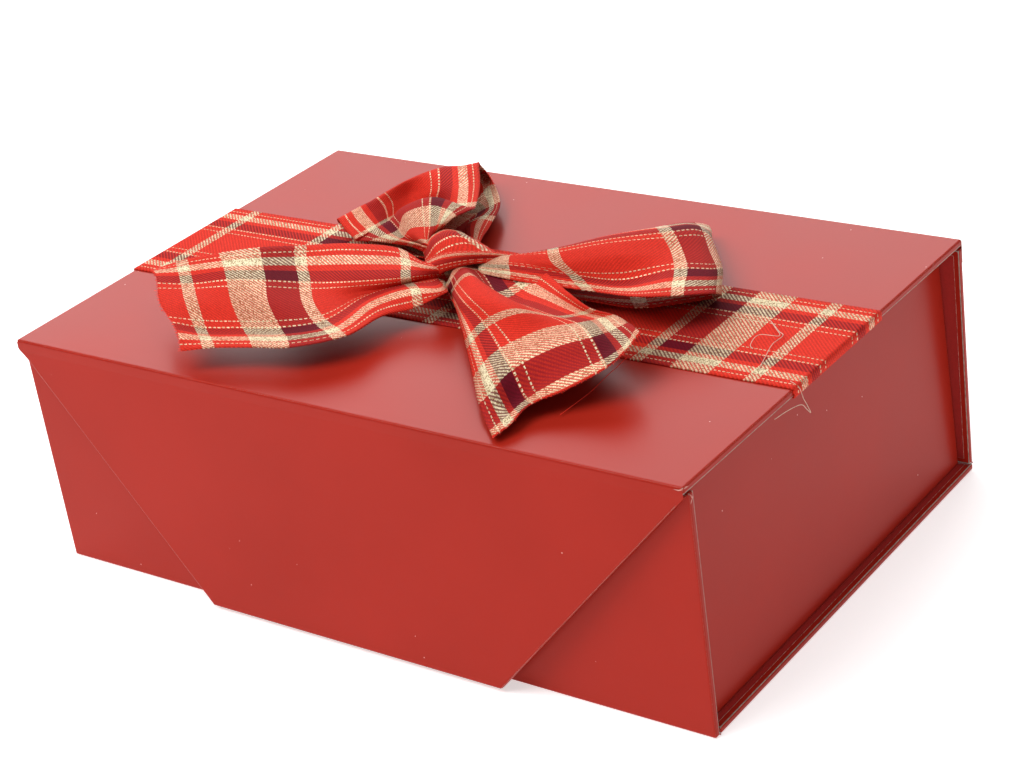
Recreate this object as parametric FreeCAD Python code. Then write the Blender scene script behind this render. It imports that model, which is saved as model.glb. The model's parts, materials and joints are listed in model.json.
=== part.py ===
"""Collapsible wrapped-board gift box with a fold-over flap and a tied ribbon bow.

Millimetres. The origin is the middle of the base's underside, on the table.
+X runs along the long front, the front faces -Y and +Z is up.
"""
import FreeCAD, Part
import math
import os

Vector = FreeCAD.Vector

# Box
BOX_LENGTH = 300.0
BOX_DEPTH = 195.0
BOX_HEIGHT = 98.0

# Panel build: greyboard between the outer wrap and the liner
BOARD_THICK = 2.35
WRAP_THICK = 0.25
LINER_THICK = 0.2
LINER_INSET = 2.4
EDGE_ROUND = 0.45

# Paper folds between panels
FOLD_GAP = 0.5
FOLD_LEG = 15.0
TUCK_CLEARANCE = 0.4

# End walls stand inside the base's outline and lean in towards their tops
END_LEDGE = 4.5
END_LEAN_DEG = 2.4
END_CLEARANCE = 0.2

# Tabs that hold the end walls upright, with their tape
TAB_REACH = 22.0
TAB_LIFT = 4.0
TAB_TOP_MARGIN = 8.0
TAB_THICK = 0.5
TAPE_THICK = 0.15
TAPE_MARGIN = 3.0

# Closing flap
FLAP_FLOOR_GAP = 1.3
FLAP_FOOT_WIDTH = 135.0
FLAP_CLEARANCE = 0.3
FLAP_LEAN_DEG = 3.1

# Disc magnets in the flap and the front wall
MAGNET_DIAMETER = 10.0
MAGNET_THICK = 1.5
MAGNET_FIT = 0.1
MAGNET_SIDE_INSET = 22.5
MAGNET_FROM_FOOT = 13.0

# Woven ribbon
RIBBON_WIDTH = 63.0
RIBBON_THICK = 0.5
RIBBON_TUCK = 25.0
BAND_LEFT_SHIFT = -2.5
BAND_RIGHT_SHIFT = 1.2

# Knot: a barrel that lies across the bow
KNOT_X = -1.0
KNOT_Y = -8.0
KNOT_TURN_DEG = 22.0
KNOT_LENGTH = 42.0
KNOT_WAIST_RADIUS = 12.0
KNOT_END_RADIUS = 5.0
KNOT_FIT = 0.1

# The bow's rows are drawn for a ribbon of this width, and follow the ribbon's real width
BOW_DRAWN_WIDTH = 63.0

# Rows across the ribbon, from the knot outwards: edge, middle, edge.
# Each point is x and y from the lid's middle and height above the lid.
LEFT_TAIL = (
    ((-6, -6, 14), (-5, -9, 12), (-3, -12, 12)),
    ((-14, -12, 15), (-11, -19, 10), (-4, -24, 11)),
    ((-24, -16, 20), (-18, -25, 10), (-5, -33, 12)),
    ((-41, -20, 21), (-30, -32, 11), (-10, -48, 9)),
    ((-61, -29, 21), (-43, -49, 12), (-21, -65, 6)),
    ((-86, -36, 19), (-63, -60, 14), (-42, -76, 4)),
    ((-105, -43, 16), (-79, -69, 13), (-57, -84, 4)),
    ((-118, -53, 12), (-92, -77, 11), (-72, -90, 4)),
)
FRONT_TAIL = (
    ((0, -13, 11), (2, -12, 13), (4, -9, 13)),
    ((2, -20, 10), (8, -20, 15), (12, -14, 15)),
    ((15, -36, 8), (24, -30, 16), (24, -12, 14)),
    ((29, -50, 5), (44, -44, 16), (49, -16, 15)),
    ((50, -74, 3), (67, -61, 15), (79, -35, 19)),
    ((75, -98, 3), (92, -77, 13), (100, -42, 23)),
)
RIGHT_LOOP = (
    ((3, -3, 13), (4, -6, 14), (5, -9, 13)),
    ((12, 2, 13), (14, -2, 15), (17, -6, 14)),
    ((28, 17, 16), (33, 7, 13), (40, -7, 15)),
    ((40, 36, 14), (55, 11, 15), (66, -16, 15)),
    ((53, 49, 11), (76, 15, 18), (85, -11, 13)),
    ((64, 57, 9), (89, 24, 16), (101, 1, 12)),
    ((66, 62, 5.5), (91, 31, 9.5), (103, 8, 7)),
    ((57, 62, 2), (77, 37, 2.5), (92, 14, 2)),
    ((39, 47, 2), (57, 24, 2.5), (70, -1, 3)),
    ((26, 26, 4), (35, 17, 3), (43, 4, 4)),
    ((12, 5, 9), (14, 1, 8), (17, -4, 9)),
    ((3, -3, 9), (4, -6, 8), (5, -9, 9)),
)
BACK_LOOP = (
    ((-7, -6, 13), (-6, -3, 15), (-3, -1, 14)),
    ((-17, -6, 13), (-16, 0, 16), (-10, 6, 15)),
    ((-40, 2, 11), (-34, 16, 20), (-20, 29, 15)),
    ((-61, 7, 9), (-50, 30, 20), (-31, 45, 16)),
    ((-80, 17, 10), (-64, 43, 20), (-48, 69, 16)),
    ((-91, 27, 6), (-75, 56, 13), (-60, 83, 10)),
    ((-88, 28, 2), (-76, 60, 3), (-60, 86, 3)),
    ((-66, 18, 2), (-55, 45, 2.5), (-37, 66, 4)),
    ((-34, 10, 4), (-28, 22, 3.5), (-20, 35, 6)),
    ((-15, 4, 9), (-12.5, 8.5, 8), (-8, 12, 9)),
    ((-5, -4, 9), (-4, -2, 8), (-2, 0, 9)),
)

# Worked out from the sizes above
PANEL = WRAP_THICK + BOARD_THICK + LINER_THICK
HALF_LENGTH = BOX_LENGTH / 2
HALF_DEPTH = BOX_DEPTH / 2
LID_UNDER = BOX_HEIGHT - PANEL
WALL_TOP = LID_UNDER - RIBBON_THICK - TUCK_CLEARANCE
FLAP_DROP = WALL_TOP - FLAP_FLOOR_GAP
FRONT_INSIDE = -HALF_DEPTH + PANEL
SPINE_INSIDE = HALF_DEPTH - PANEL
LID_FRONT = -HALF_DEPTH - PANEL - FLAP_CLEARANCE
END_INSIDE = HALF_LENGTH - END_LEDGE - PANEL
END_FOOT = PANEL + WRAP_THICK
END_LEAN = math.radians(END_LEAN_DEG)
END_HEIGHT = (WALL_TOP - END_FOOT - PANEL * math.sin(END_LEAN)) / math.cos(END_LEAN)
BAND_TOP = BOX_HEIGHT + RIBBON_THICK

X_AXIS = Vector(1, 0, 0)
Y_AXIS = Vector(0, 1, 0)
Z_AXIS = Vector(0, 0, 1)


def box(low, high):
    """A box between two opposite corners."""
    low = Vector(*low)
    size = Vector(*high) - low
    return Part.makeBox(size.x, size.y, size.z, low)


def prism(outline, low, high):
    """A flat outline in XY, drawn up from one height to another."""
    corners = [Vector(x, y, low) for x, y in outline]
    face = Part.Face(Part.makePolygon(corners + corners[:1]))
    return face.extrude(Vector(0, 0, high - low))


def rectangle(width, low, high):
    """An outline centred on the first axis, between two values of the second."""
    half = width / 2
    return [(-half, low), (half, low), (half, high), (-half, high)]


def inset(outline, distance):
    """A convex outline, listed anticlockwise, with every side moved inwards."""
    moved = []
    for index, (x, y) in enumerate(outline):
        before = outline[index - 1]
        after = outline[(index + 1) % len(outline)]
        into = Vector(x - before[0], y - before[1], 0).normalize()
        away = Vector(after[0] - x, after[1] - y, 0).normalize()
        share = distance / (into.x * away.y - into.y * away.x)
        moved.append((x + (away.x - into.x) * share, y + (away.y - into.y) * share))
    return moved


def place(shape, origin, across, up):
    """Set a flat piece on its place: its own X along across and its own Y along up."""
    depth = across.cross(up)
    matrix = FreeCAD.Matrix(
        across.x, up.x, depth.x, origin.x,
        across.y, up.y, depth.y, origin.y,
        across.z, up.z, depth.z, origin.z,
        0, 0, 0, 1,
    )
    placed = shape.copy()
    placed.Placement = FreeCAD.Placement(matrix)
    return placed


def panel(outline, magnets=()):
    """The layers of one wrapped panel, outer face at zero and inner face at PANEL."""
    board_inside = WRAP_THICK + BOARD_THICK
    board = prism(inset(outline, WRAP_THICK), WRAP_THICK, board_inside)
    liner = prism(inset(outline, LINER_INSET), board_inside, PANEL)
    whole = prism(outline, 0, PANEL)
    wrap = whole.makeFillet(EDGE_ROUND, whole.Edges).cut(board).cut(liner)
    discs = []
    for x, y, low in magnets:
        pocket = Part.makeCylinder(
            MAGNET_DIAMETER / 2 + MAGNET_FIT, MAGNET_THICK, Vector(x, y, low), Z_AXIS
        )
        board = board.cut(pocket)
        discs.append(
            Part.makeCylinder(MAGNET_DIAMETER / 2, MAGNET_THICK, Vector(x, y, low), Z_AXIS)
        )
    layers = {"board": board, "wrap": wrap, "liner": liner}
    if discs:
        layers["magnets"] = Part.makeCompound(discs)
    return layers


def magnet_places(foot, low):
    """Two magnets side by side above a panel's foot."""
    height = foot + MAGNET_FROM_FOOT
    aside = FLAP_FOOT_WIDTH / 2 - MAGNET_SIDE_INSET
    return [(side * aside, height, low) for side in (-1, 1)]


def base_panel():
    outline = rectangle(BOX_LENGTH, FRONT_INSIDE + FOLD_GAP, HALF_DEPTH)
    return panel(outline), Vector(0, 0, 0), X_AXIS, Y_AXIS


def front_panel():
    foot = WALL_TOP - FLAP_DROP
    layers = panel(rectangle(BOX_LENGTH, 0, WALL_TOP), magnet_places(foot, WRAP_THICK))
    return layers, Vector(0, -HALF_DEPTH, 0), -X_AXIS, Z_AXIS


def spine_panel():
    outline = rectangle(BOX_LENGTH, PANEL + FOLD_GAP, WALL_TOP)
    return panel(outline), Vector(0, HALF_DEPTH, 0), X_AXIS, Z_AXIS


def end_panel():
    """An end wall drawn flat from its foot, with its inner face towards the inside."""
    return panel(rectangle(SPINE_INSIDE - FRONT_INSIDE - 2 * END_CLEARANCE, 0, END_HEIGHT))


def stand_end(shape, side):
    """Stand a piece of an end wall on the base, leaning in about the foot's inner edge."""
    across = -side * Y_AXIS
    up = Vector(-side * math.sin(END_LEAN), 0, math.cos(END_LEAN))
    foot = Vector(side * END_INSIDE, 0, END_FOOT)
    return place(shape, foot - across.cross(up) * PANEL, across, up)


def lid_panel():
    outline = rectangle(BOX_LENGTH, -HALF_DEPTH, -LID_FRONT)
    return panel(outline), Vector(0, 0, BOX_HEIGHT), X_AXIS, -Y_AXIS


def flap_panel():
    half_foot = FLAP_FOOT_WIDTH / 2
    outline = [
        (-half_foot, -FLAP_DROP),
        (half_foot, -FLAP_DROP),
        (HALF_LENGTH, 0),
        (-HALF_LENGTH, 0),
    ]
    magnet_low = WRAP_THICK + BOARD_THICK - MAGNET_THICK
    layers = panel(outline, magnet_places(-FLAP_DROP, magnet_low))
    lean = math.radians(FLAP_LEAN_DEG)
    up = Vector(0, math.sin(lean), math.cos(lean))
    return layers, Vector(0, LID_FRONT, WALL_TOP), -X_AXIS, up


def base_front_fold():
    return box(
        (-HALF_LENGTH, FRONT_INSIDE, 0),
        (HALF_LENGTH, FRONT_INSIDE + FOLD_GAP, WRAP_THICK),
    )


def base_spine_fold():
    return box(
        (-HALF_LENGTH, HALF_DEPTH - WRAP_THICK, PANEL),
        (HALF_LENGTH, HALF_DEPTH, PANEL + FOLD_GAP),
    )


def lid_fold():
    return box(
        (-HALF_LENGTH, HALF_DEPTH - WRAP_THICK, WALL_TOP),
        (HALF_LENGTH, HALF_DEPTH, LID_UNDER),
    )


def flap_fold():
    return box(
        (-HALF_LENGTH, LID_FRONT, WALL_TOP),
        (HALF_LENGTH, LID_FRONT + WRAP_THICK, LID_UNDER),
    )


def end_fold(side):
    """Paper angle inside an end wall's foot, one leg on the base and one on the wall."""
    half = SPINE_INSIDE - END_CLEARANCE - FOLD_GAP
    ledge = END_INSIDE + PANEL
    x_pair = sorted((side * (END_INSIDE - FOLD_LEG), side * ledge))
    leg = box((x_pair[0], -half, PANEL), (x_pair[1], half, END_FOOT))
    upright = box((-half, 0, PANEL), (half, FOLD_LEG, PANEL + WRAP_THICK))
    return leg.fuse(stand_end(upright, side)).removeSplitter()


def tab_layer(side_y, near, thick, margin):
    """One flat layer of a tab at an end of an end wall, a given way in from its neighbour."""
    y_pair = sorted((side_y * (SPINE_INSIDE - near - thick), side_y * (SPINE_INSIDE - near)))
    return box(
        (y_pair[0], FOLD_LEG + TAB_LIFT + margin, PANEL + margin),
        (y_pair[1], END_HEIGHT - TAB_TOP_MARGIN - margin, PANEL + TAB_REACH - margin),
    )


def four_corners(near, thick, margin):
    """The same layer at each of the four inside corners."""
    layers = [tab_layer(side_y, near, thick, margin) for side_y in (-1, 1)]
    return Part.makeCompound([stand_end(layer, side) for layer in layers for side in (-1, 1)])


def band_span(x_low, x_high, z_low, z_high):
    """A stretch of the band, whose middle drifts from the left end to the right end."""
    drift = (BAND_RIGHT_SHIFT - BAND_LEFT_SHIFT) / BOX_LENGTH
    middle = (BAND_LEFT_SHIFT + BAND_RIGHT_SHIFT) / 2
    half = RIBBON_WIDTH / 2
    low = middle + drift * x_low
    high = middle + drift * x_high
    outline = [(x_low, low - half), (x_high, high - half), (x_high, high + half), (x_low, low + half)]
    return prism(outline, z_low, z_high)


def ribbon_band():
    """The band over the lid, round both ends and tucked under."""
    outside = HALF_LENGTH + RIBBON_THICK
    tuck_end = HALF_LENGTH - RIBBON_TUCK
    under = LID_UNDER - RIBBON_THICK
    band = band_span(-outside, outside, BOX_HEIGHT, BAND_TOP)
    spans = (
        (-outside, -HALF_LENGTH, under, BOX_HEIGHT),
        (HALF_LENGTH, outside, under, BOX_HEIGHT),
        (-HALF_LENGTH, -tuck_end, under, LID_UNDER),
        (tuck_end, HALF_LENGTH, under, LID_UNDER),
    )
    for span in spans:
        band = band.fuse(band_span(*span))
    return band.removeSplitter()


def knot_barrel(fit):
    """A barrel across the bow, flat where it sits on the band."""
    half = KNOT_LENGTH / 2
    waist = KNOT_WAIST_RADIUS + fit
    end = KNOT_END_RADIUS + fit
    side = Part.Arc(Vector(-half, end, 0), Vector(0, waist, 0), Vector(half, end, 0)).toShape()
    corners = [Vector(half, end, 0), Vector(half, 0, 0), Vector(-half, 0, 0), Vector(-half, end, 0)]
    face = Part.Face(Part.Wire([side] + Part.makePolygon(corners).Edges))
    barrel = face.revolve(Vector(0, 0, 0), X_AXIS, 360)
    barrel.rotate(Vector(0, 0, 0), Z_AXIS, KNOT_TURN_DEG)
    barrel.translate(Vector(KNOT_X, KNOT_Y, BOX_HEIGHT + KNOT_WAIST_RADIUS))
    reach = KNOT_LENGTH + KNOT_WAIST_RADIUS
    below = box(
        (KNOT_X - reach, KNOT_Y - reach, BOX_HEIGHT - reach),
        (KNOT_X + reach, KNOT_Y + reach, BAND_TOP),
    )
    return barrel.cut(below)


def bow_point(point):
    """A point of the bow's rows, set on the lid."""
    share = RIBBON_WIDTH / BOW_DRAWN_WIDTH
    return Vector(point[0] * share, point[1] * share, BOX_HEIGHT + point[2] * share)


def ribbon_section(row, face):
    """The four edges across the ribbon: face, back and the two selvages."""
    back = [point - face * RIBBON_THICK for point in row]
    return (
        Part.Arc(*row).toShape(),
        Part.Arc(*back).toShape(),
        Part.makeLine(row[0], back[0]),
        Part.makeLine(row[2], back[2]),
    )


def ribbon_strip(rows):
    """A strip of ribbon ruled through arcs across it, trimmed where the knot holds it."""
    points = [[bow_point(point) for point in row] for row in rows]
    sections = []
    for index, row in enumerate(points):
        before = points[max(index - 1, 0)][1]
        after = points[min(index + 1, len(points) - 1)][1]
        face = (after - before).cross(row[2] - row[0]).normalize()
        sections.append(ribbon_section(row, face))
    faces = [Part.makeRuledSurface(end[0], end[1]) for end in (sections[0], sections[-1])]
    for section, following in zip(sections, sections[1:]):
        faces += [Part.makeRuledSurface(*pair) for pair in zip(section, following)]
    shell = Part.makeShell(faces)
    shell.sewShape()
    strip = Part.makeSolid(shell)
    if strip.Volume < 0:
        strip.reverse()
    trimmed = strip.cut(knot_barrel(KNOT_FIT))
    return max(trimmed.Solids, key=lambda solid: solid.Volume)


def build():
    """Every node by name."""
    nodes = {}
    panels = {
        "base": base_panel(),
        "front": front_panel(),
        "spine": spine_panel(),
        "lid": lid_panel(),
        "flap": flap_panel(),
    }
    for name, (layers, origin, across, up) in panels.items():
        for layer, shape in layers.items():
            nodes[name + "_" + layer] = place(shape, origin, across, up)
    for name, side in (("left_end", -1), ("right_end", 1)):
        for layer, shape in end_panel().items():
            nodes[name + "_" + layer] = stand_end(shape, side)
        nodes[name + "_fold"] = end_fold(side)
    nodes["base_front_fold"] = base_front_fold()
    nodes["base_spine_fold"] = base_spine_fold()
    nodes["lid_fold"] = lid_fold()
    nodes["flap_fold"] = flap_fold()
    nodes["end_tabs"] = four_corners(TAPE_THICK, TAB_THICK, 0)
    nodes["tab_tape"] = four_corners(0, TAPE_THICK, TAPE_MARGIN)
    nodes["ribbon_band"] = ribbon_band()
    nodes["bow_knot"] = knot_barrel(0)
    nodes["bow_left_tail"] = ribbon_strip(LEFT_TAIL)
    nodes["bow_front_tail"] = ribbon_strip(FRONT_TAIL)
    nodes["bow_right_loop"] = ribbon_strip(RIGHT_LOOP)
    nodes["bow_back_loop"] = ribbon_strip(BACK_LOOP)
    return nodes


os.makedirs("parts", exist_ok=True)
for node, shape in build().items():
    shape.exportStep("parts/" + node + ".step")
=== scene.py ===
"""Looks of a wrapped-board gift box with a tied plaid ribbon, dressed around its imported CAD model."""

import json
import math

import bmesh
import bpy
import numpy as np
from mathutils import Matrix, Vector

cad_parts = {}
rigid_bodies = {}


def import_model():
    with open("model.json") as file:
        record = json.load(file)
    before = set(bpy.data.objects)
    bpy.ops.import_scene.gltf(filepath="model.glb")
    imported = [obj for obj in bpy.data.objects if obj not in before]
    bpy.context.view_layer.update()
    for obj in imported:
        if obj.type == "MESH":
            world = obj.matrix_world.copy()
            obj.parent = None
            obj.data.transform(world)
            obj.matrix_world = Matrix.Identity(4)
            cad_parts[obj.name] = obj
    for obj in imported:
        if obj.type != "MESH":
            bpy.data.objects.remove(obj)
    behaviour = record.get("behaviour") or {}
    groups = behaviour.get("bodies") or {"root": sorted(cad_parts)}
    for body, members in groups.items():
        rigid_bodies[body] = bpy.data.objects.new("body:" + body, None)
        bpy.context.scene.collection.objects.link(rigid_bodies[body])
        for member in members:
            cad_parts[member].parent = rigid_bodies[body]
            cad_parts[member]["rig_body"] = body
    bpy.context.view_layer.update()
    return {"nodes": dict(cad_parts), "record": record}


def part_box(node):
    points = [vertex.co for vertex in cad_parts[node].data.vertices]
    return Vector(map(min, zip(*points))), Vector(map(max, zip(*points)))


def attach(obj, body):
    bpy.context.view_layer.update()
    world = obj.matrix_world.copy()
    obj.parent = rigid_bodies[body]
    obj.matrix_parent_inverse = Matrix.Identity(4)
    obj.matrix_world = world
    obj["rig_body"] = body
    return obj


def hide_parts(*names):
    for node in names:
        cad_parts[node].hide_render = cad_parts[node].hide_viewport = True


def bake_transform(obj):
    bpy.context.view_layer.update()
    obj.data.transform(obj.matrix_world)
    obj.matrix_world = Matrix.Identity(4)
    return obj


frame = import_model()

MM = 0.001

# The ribbon, in mm: width, drawn thickness, how fine its mesh is, and the lid that carries it
RIBBON_WIDTH = 63.0
RIBBON_THICK = 0.4
CLOTH_COLUMNS = 49
CLOTH_PITCH = 1.2
LID_LOW, LID_HIGH = (tuple(c / MM for c in corner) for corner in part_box("lid_wrap"))
LID_TOP = LID_HIGH[2]

# Papers, in mm: a bare sheet, the glued wrap, its turned-in edge, and how far it rounds a board's edges
PAPER_THICK = 0.1
WRAP_THICK = 0.25
TURN_IN = 0.05
WRAP_ROUND = 0.85

# The wrapped panels. A face nearer to the liner than NEAR_LINER, in mm, is the one that the liner covers,
# and a liner's face over BROAD_FACE, in square metres, is no cut edge
PANELS = ("base", "front", "spine", "left_end", "right_end", "lid", "flap")
NEAR_LINER = 1.0
BROAD_FACE = 0.001

# The band, in mm: how far its middle lies above the paper, its tuck under the lid, where its middle runs
# and how it drifts, where its first stripe lies, and how fine its mesh is
BAND_LIFT = 0.25
BAND_TUCK = 25
BAND_MIDDLE = -0.65
BAND_DRIFT = 3.7 / 300
BAND_FIRST_STRIPE = -138.4
BAND_COLUMNS = 33
BAND_PITCH = 1.5

# The folds stand just clear of the panels, end short of their corners and bend a little above and below
# the crease, in mm; the flap leans out at its foot and tapers
PAPER_SHOW = 0.08
FOLD_INSET = 0.2
FOLD_COLUMNS = 25
FOLD_ROWS = 24
FLAP_LEAN_DEG = 3.1
FLAP_FOOT_WIDTH = 135.0

# Yarn colours, sRGB
RED_YARN = "FF3C2A"
MAROON_YARN = "780C22"
GOLD_YARN = "FFF0C8"
PALE_YARN = "EBCBB6"

# Weft stripes along the ribbon: their widths in mm and their yarns
WEFT_WIDTHS = (4.5, 40.5, 4.5, 12.0, 15.0, 14.0)
WEFT_YARNS = (GOLD_YARN, RED_YARN, GOLD_YARN, MAROON_YARN, GOLD_YARN, RED_YARN)
WEFT_REPEAT = sum(WEFT_WIDTHS)

# Warp stripes from each selvage to the middle: where they start, as shares of the width, and their yarns
WARP_STARTS = (0.0, 0.085, 0.15, 0.195, 0.28)
WARP_YARNS = (RED_YARN, GOLD_YARN, RED_YARN, MAROON_YARN, RED_YARN)

# Dashed lines of gold warp: where they lie and how wide they are, as shares of the width, the pitch of the
# stitches in mm, and how much of a stitch shows
DASHED_WARPS = (0.045, 0.29, 0.345)
DASH_WIDTH = 0.010
DASH_PITCH = 1.7
DASH_SHARE = 0.6

# The yarns are 0.25 mm in the real cloth, drawn coarser so that the twill shows
YARN_PITCH = 0.42

# Threads of the ribbon that the bow's points follow, as shares of the width from selvage to selvage
THREADS = (0.0, 0.12, 0.24, 0.5, 0.76, 0.88, 1.0)

# Rows across the bow's ribbons, from the knot outwards: how far along the cloth each lies, then its points.
# Each point is x and y from the lid's middle and height above the lid, in mm.
LEFT_TAIL = (
    (-18, (-6, -8, 12), (-4, -10, 12), (-3, -11, 11), (-5, -8, 8),
     (-10.5, -11.5, 9), (-4, -16.5, 9), (-0.5, -20.5, 8)),
    (-8, (-13.5, -16, 16), (-9.5, -19.5, 16), (-8.5, -20, 14), (-9, -19, 11),
     (-4, -23.5, 12), (3.5, -29.5, 13), (5.5, -29.5, 12)),
    (2, (-26, -11.5, 17), (-19.5, -18.5, 16), (-14.5, -25.5, 15), (-14.5, -25.5, 11),
     (-11.5, -27.5, 12), (-5.5, -32, 12.5), (-1.5, -36.5, 9)),
    (25, (-47.5, -16, 18.5), (-40.5, -24.5, 16.5), (-33.5, -33, 14.5), (-29.5, -37.5, 10),
     (-24, -37.5, 9.5), (-17, -42.5, 10.5), (-9.5, -47.5, 9)),
    (47, (-65.5, -24, 18.5), (-60, -31.5, 16), (-52.5, -39, 14), (-39, -53.5, 12),
     (-25, -62, 9.5), (-18, -65.5, 10), (-11.5, -69, 10)),
    (61.5, (-74.5, -38, 22.5), (-68.5, -44, 20), (-62.5, -50, 18), (-50, -63.5, 15),
     (-36.5, -72.5, 9.5), (-30.5, -77, 10), (-25, -82.5, 10)),
    (76.5, (-86.5, -47.5, 22.5), (-80.5, -52.5, 21), (-75, -57.5, 19.5), (-64, -68, 14.5),
     (-51, -77, 9), (-45, -81.5, 9.5), (-39, -86.5, 9.5)),
    (93, (-102, -53, 19.5), (-96.5, -58, 19), (-91, -63, 17.5), (-79, -74, 15.5),
     (-67, -83.5, 9.5), (-61, -88, 10), (-55, -93, 9.5)),
    (103, (-111.5, -59.5, 17), (-106, -64, 19), (-100, -69, 19), (-88.5, -80.5, 16.5),
     (-74.5, -88.5, 12.5), (-69, -93, 12), (-64, -98, 9)),
)
FRONT_TAIL = (
    (160, (0, -21, 11), (0.5, -21, 12), (-0.5, -18.5, 12), (-1.5, -12.5, 14),
     (-1, -5.5, 13), (2, -3, 13), (4.5, -0.5, 13)),
    (152, (3, -24.5, 10), (0.5, -21, 10), (3.5, -23, 13), (3, -14, 15),
     (8, -7.5, 12), (12, -2.5, 12.5), (16, 1.5, 14)),
    (138, (5.5, -26, 8.5), (1.5, -20.5, 7), (5.5, -24.5, 11), (15, -24.5, 19),
     (26, -20.5, 10.5), (28.5, -11, 11.5), (32, -4.5, 14.5)),
    (115, (14, -34, 8.5), (18, -37.5, 12), (21, -40, 15.5), (33.5, -37.5, 21),
     (43.5, -27, 12), (46.5, -18.5, 11.5), (52.5, -17.5, 15)),
    (93, (33, -54.5, 8), (38.5, -58, 13), (37.5, -51, 13.5), (51, -47, 20.5),
     (61.5, -33, 13.5), (63, -24, 11), (68, -25, 14)),
    (76.5, (47.5, -70.5, 5), (52.5, -71.5, 11), (51.5, -63, 11.5), (62.5, -49, 16),
     (73, -37.5, 15.5), (73, -28, 12.5), (78.5, -27, 14.5)),
    (61.5, (59.5, -84, 4), (64.5, -82.5, 9), (64, -73.5, 10.5), (74, -59, 15.5),
     (86, -48, 17.5), (86, -39.5, 15.5), (88, -32.5, 15.5)),
    (53.5, (68.5, -92.5, 2), (70.5, -86, 4), (70.5, -77.5, 4.5), (80.5, -64.5, 11.5),
     (92.5, -52.5, 15), (93.5, -44, 15), (93, -36.5, 17)),
    (44.5, (76, -99.5, 2.5), (78, -92, 4), (78, -83, 5.5), (88, -71, 9),
     (98.5, -58, 14.5), (99, -49.5, 16), (99, -41.5, 18)),
)
RIGHT_LOOP = (
    (-25, (3, 1, 12), (3.5, 0, 13), (4, -2, 14), (5, -5, 15),
     (6, -8, 14), (6.5, -9, 13), (7, -10, 12)),
    (-12, (14, 6, 11), (15.5, 3.5, 14), (17, 1, 16), (19, -3, 16.5),
     (22, -7, 15), (24, -9, 13.5), (25, -11, 12)),
    (2, (25, 15, 11), (28, 10, 15.5), (31.5, 4.5, 19), (38.5, -3, 18),
     (47.5, -5, 14), (52.5, -8, 13), (57, -11, 13)),
    (25, (41, 27, 14), (44.5, 22, 18.5), (48.5, 16, 21), (57, 6.5, 19.5),
     (65.5, -1, 12.5), (73, -9, 15), (79.5, -16.5, 17)),
    (47, (53.5, 41.5, 15), (58.5, 36, 18), (63.5, 30.5, 20), (75, 20, 17.5),
     (84, 7.5, 16), (87.5, 0, 15.5), (91.5, -7.5, 15)),
    (58, (58, 54.5, 12), (63, 49, 14.5), (69, 42.5, 17), (83, 26, 16),
     (94, 13, 15), (97.5, 6.5, 14.5), (101, 0, 14)),
    (70, (61, 65.5, 6), (65.5, 59.5, 7), (69.5, 53, 8), (81, 38.5, 9),
     (90, 26.5, 8.5), (93.5, 20, 8), (98, 12, 7.5)),
    (75, (57, 67, 2), (61, 61, 2), (65.5, 55, 2), (74.5, 43, 2.5),
     (83, 31, 2), (87.5, 25.5, 2), (91.5, 20, 2)),
    (83, (45, 56, 2), (49.5, 50.5, 2), (54, 45, 2), (63.5, 32.5, 2.5),
     (73, 20, 2.5), (77.5, 14.5, 2.5), (82, 9, 3)),
    (93, (31, 44, 3), (36, 38.5, 3), (41, 33, 3), (51.5, 22, 3),
     (62, 10.5, 2.5), (66.5, 5, 3), (71, 0, 3.5)),
    (112, (16, 24, 6), (20, 20.5, 6), (25, 17, 5.5), (34, 9.5, 5),
     (43.5, 2, 4.5), (48, -1, 4.5), (52, -4, 5)),
    (128, (8, 10, 8), (10, 7.5, 8), (12, 5, 8), (16, 1, 7.5),
     (21, -4, 7), (25, -6.5, 7), (28, -8.5, 7.5)),
    (140, (1, 0, 9), (2, -1, 9), (3, -3, 8.5), (4, -5, 8.5),
     (5, -8, 8.5), (6, -9, 8.5), (7, -11, 9)),
)
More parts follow.
